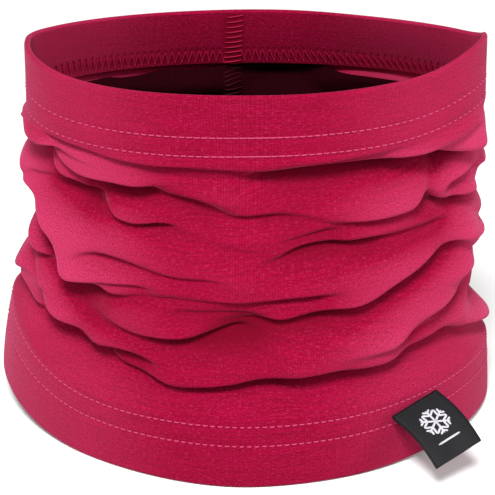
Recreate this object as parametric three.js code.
// Neck gaiter: a tube of fine knitted wool, pushed down so that its wall gathers into soft folds
// between two turned hems. Each hem is held by a two-needle cover stitch: two thread rows outside
// and a looper band inside. A flat seam closes the tube at the back, and a folded woven tab is
// sewn into the lower hem at the front right.
//
// Frame, in millimetres: +Z up, X across the neck, -Y to the front. The origin is the middle of
// the whole piece's box, tab included, at the plane that the lower hem stands on.

import * as THREE from "three";

// The tube's outline: an oval footprint, and a narrower, shallower rim that sits further back.
const FOOT_HALF_WIDTH = 93.5;
const FOOT_HALF_DEPTH = 70;
const FOOT_SQUARENESS = 1.75;
const RIM_HALF_WIDTH = 82.5;
const RIM_HALF_DEPTH = 39;
const RIM_SQUARENESS = 2.2;
const RIM_SHIFT_X = 3.5;
const RIM_SHIFT_Y = 10;
const RIM_FRONT_DIP = 8;
const HEIGHT = 138;

// The fabric and its hems.
const FABRIC = 1.0;
const TURN_GAP = 0.4;
const HEM_DEPTH = 23.5;
const HEM_EDGE_ROUND = 0.5;
const JOIN_GAP = 0.3;

// The gathered wall: fold rows whose lines tilt and wander round the tube.
const FOLD_ROWS = 4;
const FOLD_OUT = 2.6;
const FOLD_TILT = 0.9;
const FOLD_TILT_FROM = 0.4;
const FOLD_WANDER = 0.45;
const FOLD_WANDER_FROM = 1;
const FOLD_WANDERS = 3;
const FOLD_EASE = 0.12;
const WALL_STEPS = 18;
const HEM_STEPS = 3;

// Thread: the two needle rows of each cover stitch, and the looper band behind them. The row next
// to the wall catches the hem's raw edge, so the rows are placed from there.
const THREAD = 0.5;
const THREAD_GAP = 0.2;
const NEEDLE_GAUGE = 6.8;
const ROW_TO_RAW_EDGE = 1.3;
const LOOPER_MARGIN = 0.5;

// The flat seam down the middle of the back, on the inside.
const SEAM_WIDTH = 6.0;
const SEAM_THICK = 0.7;
const SEAM_ANGLE = THREE.MathUtils.degToRad(183);

// The woven tab: a strip folded end to end, so that it has two leaves.
const TAB_WIDTH = 20;
const TAB_LENGTH = 25;
const TAB_LEAF = 0.45;
const TAB_LEAF_GAP = 0.5;
const TAB_AZIMUTH = THREE.MathUtils.degToRad(41.5);
const TAB_ROLL = THREE.MathUtils.degToRad(14);
const TAB_LEAN = THREE.MathUtils.degToRad(74);
const TAB_DROOP = THREE.MathUtils.degToRad(18);
const TAB_STEPS = 8;
const TAB_FOLD_STEPS = 6;
const TAB_ROOT_GAP = 0.4;
const EMBLEM_ARMS = 6;
const EMBLEM_ACROSS = 11;
const EMBLEM_ARM = 1.0;
const EMBLEM_THICK = 0.15;
const EMBLEM_DOWN = 12.5;
const TACK_INSET = 1.2;

const RING_STEPS = 44;
const NOMINAL_RADIUS = 100;
const ANGLE_STEP = 0.01;

const { lerp, smoothstep } = THREE.MathUtils;

const COLOURS = { wool: 0xb80f42, thread: 0xe0577f, tab: 0x17181b, emblem: 0xd6d4da };

function material(colour, roughness = 0.9) {
  return new THREE.MeshStandardMaterial({ color: colour, roughness, metalness: 0 });
}

const wool = material(COLOURS.wool);
const thread = material(COLOURS.thread, 0.6);
const tabWeave = material(COLOURS.tab, 0.7);
const emblemThread = material(COLOURS.emblem, 0.6);

// ---- the tube's surface -------------------------------------------------------------------

// One point of the oval at a share of the height. The angle is 0 at the front and grows to +X.
function ovalPoint(angle, share) {
  const s = smoothstep(share, 0, 1);
  const power = 2 / lerp(FOOT_SQUARENESS, RIM_SQUARENESS, s);
  const side = Math.sin(angle);
  const front = Math.cos(angle);
  const x = Math.sign(side) * Math.abs(side) ** power * lerp(FOOT_HALF_WIDTH, RIM_HALF_WIDTH, s);
  const y = Math.sign(front) * Math.abs(front) ** power * lerp(FOOT_HALF_DEPTH, RIM_HALF_DEPTH, s);
  return new THREE.Vector2(x + RIM_SHIFT_X * s, RIM_SHIFT_Y * s - y);
}

// The outward direction of the oval there.
function ovalNormal(angle, share) {
  const along = ovalPoint(angle + ANGLE_STEP, share).sub(ovalPoint(angle - ANGLE_STEP, share)).normalize();
  return new THREE.Vector2(along.y, -along.x);
}

// How far the folds push the wall outwards. It fades to nothing at both hems.
function foldOut(angle, height) {
  const up = (height - HEM_DEPTH) / (HEIGHT - 2 * HEM_DEPTH);
  if (up <= 0 || up >= 1) return 0;
  const tilt = FOLD_TILT * Math.sin(angle + FOLD_TILT_FROM);
  const wander = FOLD_WANDER * Math.sin(FOLD_WANDERS * angle + FOLD_WANDER_FROM);
  const wave = Math.cos(2 * Math.PI * FOLD_ROWS * up + tilt + wander);
  return FOLD_OUT * wave * smoothstep(Math.min(up, 1 - up), 0, FOLD_EASE);
}

// The upper hem's front dips, and the wall below it follows.
function dipped(angle, height) {
  const front = Math.max(0, Math.cos(angle)) ** 2;
  return height - RIM_FRONT_DIP * front * smoothstep(height, HEM_DEPTH, HEIGHT - HEM_DEPTH);
}

// A place on the tube: round it by angle, up it by height, and out from it by offset.
function onTube(angle, height, offset) {
  const share = THREE.MathUtils.clamp(height / HEIGHT, 0, 1);
  const out = offset + foldOut(angle, height);
  const flat = ovalPoint(angle, share).addScaledVector(ovalNormal(angle, share), out);
  return new THREE.Vector3(flat.x, flat.y, dipped(angle, height));
}

// A closed ring with the given closed section, whose points are (offset, height).
function ring(section) {
  const profile = section.map(([offset, height]) => new THREE.Vector2(NOMINAL_RADIUS + offset, height));
  const geometry = new THREE.LatheGeometry([...profile, profile[0].clone()].reverse(), RING_STEPS);
  const position = geometry.getAttribute("position");
  for (let i = 0; i < position.count; i++) {
    const angle = Math.atan2(position.getX(i), -position.getZ(i));
    const offset = Math.hypot(position.getX(i), position.getZ(i)) - NOMINAL_RADIUS;
    const place = onTube(angle, position.getY(i), offset);
    position.setXYZ(i, place.x, place.y, place.z);
  }
  return geometry;
}

// A ring with a rectangular section between two heights and two offsets, in equal steps of height.
function bandSection(inner, outer, low, high, steps = 1) {
  const heights = Array.from({ length: steps + 1 }, (_, i) => lerp(low, high, i / steps));
  const outside = heights.map((height) => [outer, height]);
  const inside = heights.map((height) => [inner, height]).reverse();
  return [...outside, ...inside];
}

// ---- the hems ------------------------------------------------------------------------------

const HEM_THICK = 2 * FABRIC + TURN_GAP;

// The turned hem's section: two layers that join in a blunt fold at the edge. The edge is at
// height edge, and the layers run away from it in the direction way (+1 up, -1 down).
function hemSection(edge, way) {
  const at = (height) => edge + way * height;
  const climb = (offset, from) => {
    const heights = Array.from({ length: HEM_STEPS + 1 }, (_, i) => lerp(from, HEM_DEPTH, i / HEM_STEPS));
    return heights.map((height) => [offset, at(height)]);
  };
  const points = [
    [-HEM_EDGE_ROUND, at(0)],
    ...climb(0, HEM_EDGE_ROUND),
    ...climb(-FABRIC, FABRIC).reverse(),
    ...climb(-FABRIC - TURN_GAP, FABRIC),
    ...climb(-HEM_THICK, HEM_EDGE_ROUND).reverse(),
    [HEM_EDGE_ROUND - HEM_THICK, at(0)],
  ];
  return way > 0 ? points : points.reverse();
}

function hem(name, edge, way) {
  const mesh = new THREE.Mesh(ring(hemSection(edge, way)), wool);
  mesh.name = name;
  return mesh;
}

// ---- the gathered wall ---------------------------------------------------------------------

const WALL_LOW = HEM_DEPTH + JOIN_GAP;
const WALL_HIGH = HEIGHT - HEM_DEPTH - JOIN_GAP;

function gatheredWall() {
  const section = bandSection(-FABRIC, 0, WALL_LOW, WALL_HIGH, WALL_STEPS);
  const mesh = new THREE.Mesh(ring(section), wool);
  mesh.name = "gathered_wall";
  return mesh;
}

// ---- the cover stitches --------------------------------------------------------------------

const EDGE_TO_WALL_ROW = HEM_DEPTH - ROW_TO_RAW_EDGE;
const EDGE_TO_FIRST_ROW = EDGE_TO_WALL_ROW - NEEDLE_GAUGE;

function threadRing(name, inner, outer, low, high) {
  const mesh = new THREE.Mesh(ring(bandSection(inner, outer, low, high)), thread);
  mesh.name = name;
  return mesh;
}

// The rows of one hem: the first is nearer its folded edge, the second is next to the wall.
function coverStitch(hemName, edge, way) {
  const first = edge + way * EDGE_TO_FIRST_ROW;
  const second = edge + way * EDGE_TO_WALL_ROW;
  const row = (name, height) => {
    const half = THREAD / 2;
    return threadRing(name, THREAD_GAP, THREAD_GAP + THREAD, height - half, height + half);
  };
  const bandLow = Math.min(first, second) - LOOPER_MARGIN;
  const bandHigh = Math.max(first, second) + LOOPER_MARGIN;
  const face = -HEM_THICK - THREAD_GAP;
  return [
    row(`${hemName}_needle_row_edge`, first),
    row(`${hemName}_needle_row_wall`, second),
    threadRing(`${hemName}_looper_band`, face - THREAD, face, bandLow, bandHigh),
  ];
}

// ---- the back seam -------------------------------------------------------------------------

// A strip up the inside of the back, its face next to the fabric at the given offset.
function seamStrip(name, face, low, high, steps) {
  const geometry = new THREE.BoxGeometry(SEAM_WIDTH, SEAM_THICK, high - low, 2, 1, steps);
  const position = geometry.getAttribute("position");
  for (let i = 0; i < position.count; i++) {
    const height = position.getZ(i) + (low + high) / 2;
    const swing = position.getX(i) * backAnglePerLength(height);
    const offset = face - SEAM_THICK / 2 + position.getY(i);
    const place = onTube(SEAM_ANGLE - swing, height, offset);
    position.setXYZ(i, place.x, place.y, place.z);
  }
  const mesh = new THREE.Mesh(geometry, thread);
  mesh.name = name;
  return mesh;
}

// How much the angle changes per millimetre along the middle of the back.
function backAnglePerLength(height) {
  const share = height / HEIGHT;
  const one = ovalPoint(SEAM_ANGLE + ANGLE_STEP, share);
  const other = ovalPoint(SEAM_ANGLE - ANGLE_STEP, share);
  return (2 * ANGLE_STEP) / one.distanceTo(other);
}

function backSeam() {
  const hemFace = -HEM_THICK - JOIN_GAP;
  const wallFace = -FABRIC - JOIN_GAP;
  const clear = EDGE_TO_FIRST_ROW - LOOPER_MARGIN - JOIN_GAP;
  return [
    seamStrip("back_seam_lower_hem", hemFace, HEM_EDGE_ROUND, clear, 2),
    seamStrip("back_seam_wall", wallFace, WALL_LOW, WALL_HIGH, WALL_STEPS),
    seamStrip("back_seam_upper_hem", hemFace, HEIGHT - clear, HEIGHT - HEM_EDGE_ROUND, 2),
  ];
}

// ---- the woven tab -------------------------------------------------------------------------

const TAB_ROOT_HEIGHT = EDGE_TO_WALL_ROW;
const TAB_HALF_THICK = TAB_LEAF + TAB_LEAF_GAP / 2;

// The tab's centre line in its own plane: it leaves the hem leaning out and droops towards its
// end. u runs out from the hem and v runs up.
function tabLine(distance) {
  const bend = TAB_DROOP / TAB_LENGTH;
  const start = TAB_LEAN;
  const here = start - bend * distance;
  const u = (Math.cos(here) - Math.cos(start)) / bend;
  const v = -(Math.sin(start) - Math.sin(here)) / bend;
  const direction = new THREE.Vector2(Math.sin(here), -Math.cos(here));
  return { place: new THREE.Vector2(u, v), direction };
}

function tabPoint(distance, offset) {
  const { place, direction } = tabLine(distance);
  return place.addScaledVector(new THREE.Vector2(-direction.y, direction.x), offset);
}

// The outline of the folded strip seen from its side: out along the upper leaf, round the fold,
// and back along the lower leaf, with the gap between the leaves left open at the sewn end.
function tabOutline() {
  const inner = TAB_LEAF_GAP / 2;
  const end = TAB_LENGTH - TAB_HALF_THICK;
  const along = Array.from({ length: TAB_STEPS + 1 }, (_, i) => (end * i) / TAB_STEPS);
  const fold = (radius) =>
    Array.from({ length: TAB_FOLD_STEPS - 1 }, (_, i) => {
      const turn = (Math.PI * (i + 1)) / TAB_FOLD_STEPS;
      return tabPoint(end + radius * Math.sin(turn), radius * Math.cos(turn));
    });
  const outside = [
    ...along.map((distance) => tabPoint(distance, TAB_HALF_THICK)),
    ...fold(TAB_HALF_THICK),
    ...along.map((distance) => tabPoint(distance, -TAB_HALF_THICK)).reverse(),
  ];
  const inside = [
    ...along.map((distance) => tabPoint(distance, -inner)),
    ...fold(inner).reverse(),
    ...along.map((distance) => tabPoint(distance, inner)).reverse(),
  ];
  return [...outside, ...inside];
}

// Puts a geometry built in the tab's own axes (x along the seam, y out, z up) on the hem.
function tabGroup(children) {
  const share = TAB_ROOT_HEIGHT / HEIGHT;
  const out = ovalNormal(TAB_AZIMUTH, share);
  const root = onTube(TAB_AZIMUTH, TAB_ROOT_HEIGHT, tabStandOff());
  const group = new THREE.Group();
  group.position.copy(root);
  group.rotation.set(0, TAB_ROLL, Math.atan2(out.y, out.x) - Math.PI / 2, "ZYX");
  children.forEach((child) => group.add(child));
  return group;
}

// How far the middle of the tab's sewn end stands off the hem: its lower leaf just clears the thread.
function tabStandOff() {
  return THREAD + THREAD_GAP + TAB_ROOT_GAP + TAB_HALF_THICK;
}

// A side outline extruded across the tab's width, centred on it.
function acrossTab(points, width) {
  const geometry = new THREE.ExtrudeGeometry(new THREE.Shape(points), {
    depth: width,
    bevelEnabled: false,
  });
  geometry.translate(0, 0, -width / 2);
  const position = geometry.getAttribute("position");
  for (let i = 0; i < position.count; i++) {
    const [u, v, w] = [position.getX(i), position.getY(i), position.getZ(i)];
    position.setXYZ(i, w, u, v);
  }
  return geometry;
}

function tab() {
  const mesh = new THREE.Mesh(acrossTab(tabOutline(), TAB_WIDTH), tabWeave);
  mesh.name = "label_tab";
  return mesh;
}

// The row of thread that holds the tab's sewn end, a flat bar on its upper leaf.
function tack() {
  const low = TAB_HALF_THICK + THREAD_GAP;
  const bar = [
    tabPoint(TACK_INSET - THREAD / 2, low),
    tabPoint(TACK_INSET + THREAD / 2, low),
    tabPoint(TACK_INSET + THREAD / 2, low + THREAD),
    tabPoint(TACK_INSET - THREAD / 2, low + THREAD),
  ];
  const mesh = new THREE.Mesh(acrossTab(bar, TAB_WIDTH - 2 * TACK_INSET), tabWeave);
  mesh.name = "label_tack_row";
  return mesh;
}

// The woven emblem: a plain six-armed snow star, laid on the upper leaf.
function starShape() {
  const tip = EMBLEM_ACROSS / 2;
  const spread = Math.asin(EMBLEM_ARM / 2 / tip);
  const corner = (radius, angle) => new THREE.Vector2(radius * Math.cos(angle), radius * Math.sin(angle));
  const arms = Array.from({ length: EMBLEM_ARMS }, (_, i) => (2 * Math.PI * i) / EMBLEM_ARMS);
  const outline = arms.flatMap((middle) => [
    corner(EMBLEM_ARM, middle - Math.PI / EMBLEM_ARMS),
    corner(tip, middle - spread),
    corner(tip, middle + spread),
  ]);
  return new THREE.Shape(outline);
}

function emblem() {
  const geometry = new THREE.ExtrudeGeometry(starShape(), { depth: EMBLEM_THICK, bevelEnabled: false });
  const base = TAB_HALF_THICK + THREAD_GAP;
  const position = geometry.getAttribute("position");
  for (let i = 0; i < position.count; i++) {
    const place = tabPoint(EMBLEM_DOWN - position.getY(i), base + position.getZ(i));
    position.setXYZ(i, -position.getX(i), place.x, place.y);
  }
  const mesh = new THREE.Mesh(geometry, emblemThread);
  mesh.name = "label_emblem";
  return mesh;
}

// ---- assembly ------------------------------------------------------------------------------

const gaiter = new THREE.Group();
gaiter.add(
  hem("lower_hem", 0, 1),
  gatheredWall(),
  hem("upper_hem", HEIGHT, -1),
  ...coverStitch("lower_hem", 0, 1),
  ...coverStitch("upper_hem", HEIGHT, -1),
  ...backSeam(),
  tabGroup([tab(), tack(), emblem()]),
);
const middle = new THREE.Box3().setFromObject(gaiter).getCenter(new THREE.Vector3());
gaiter.position.set(-middle.x, -middle.y, 0);

export default gaiter;
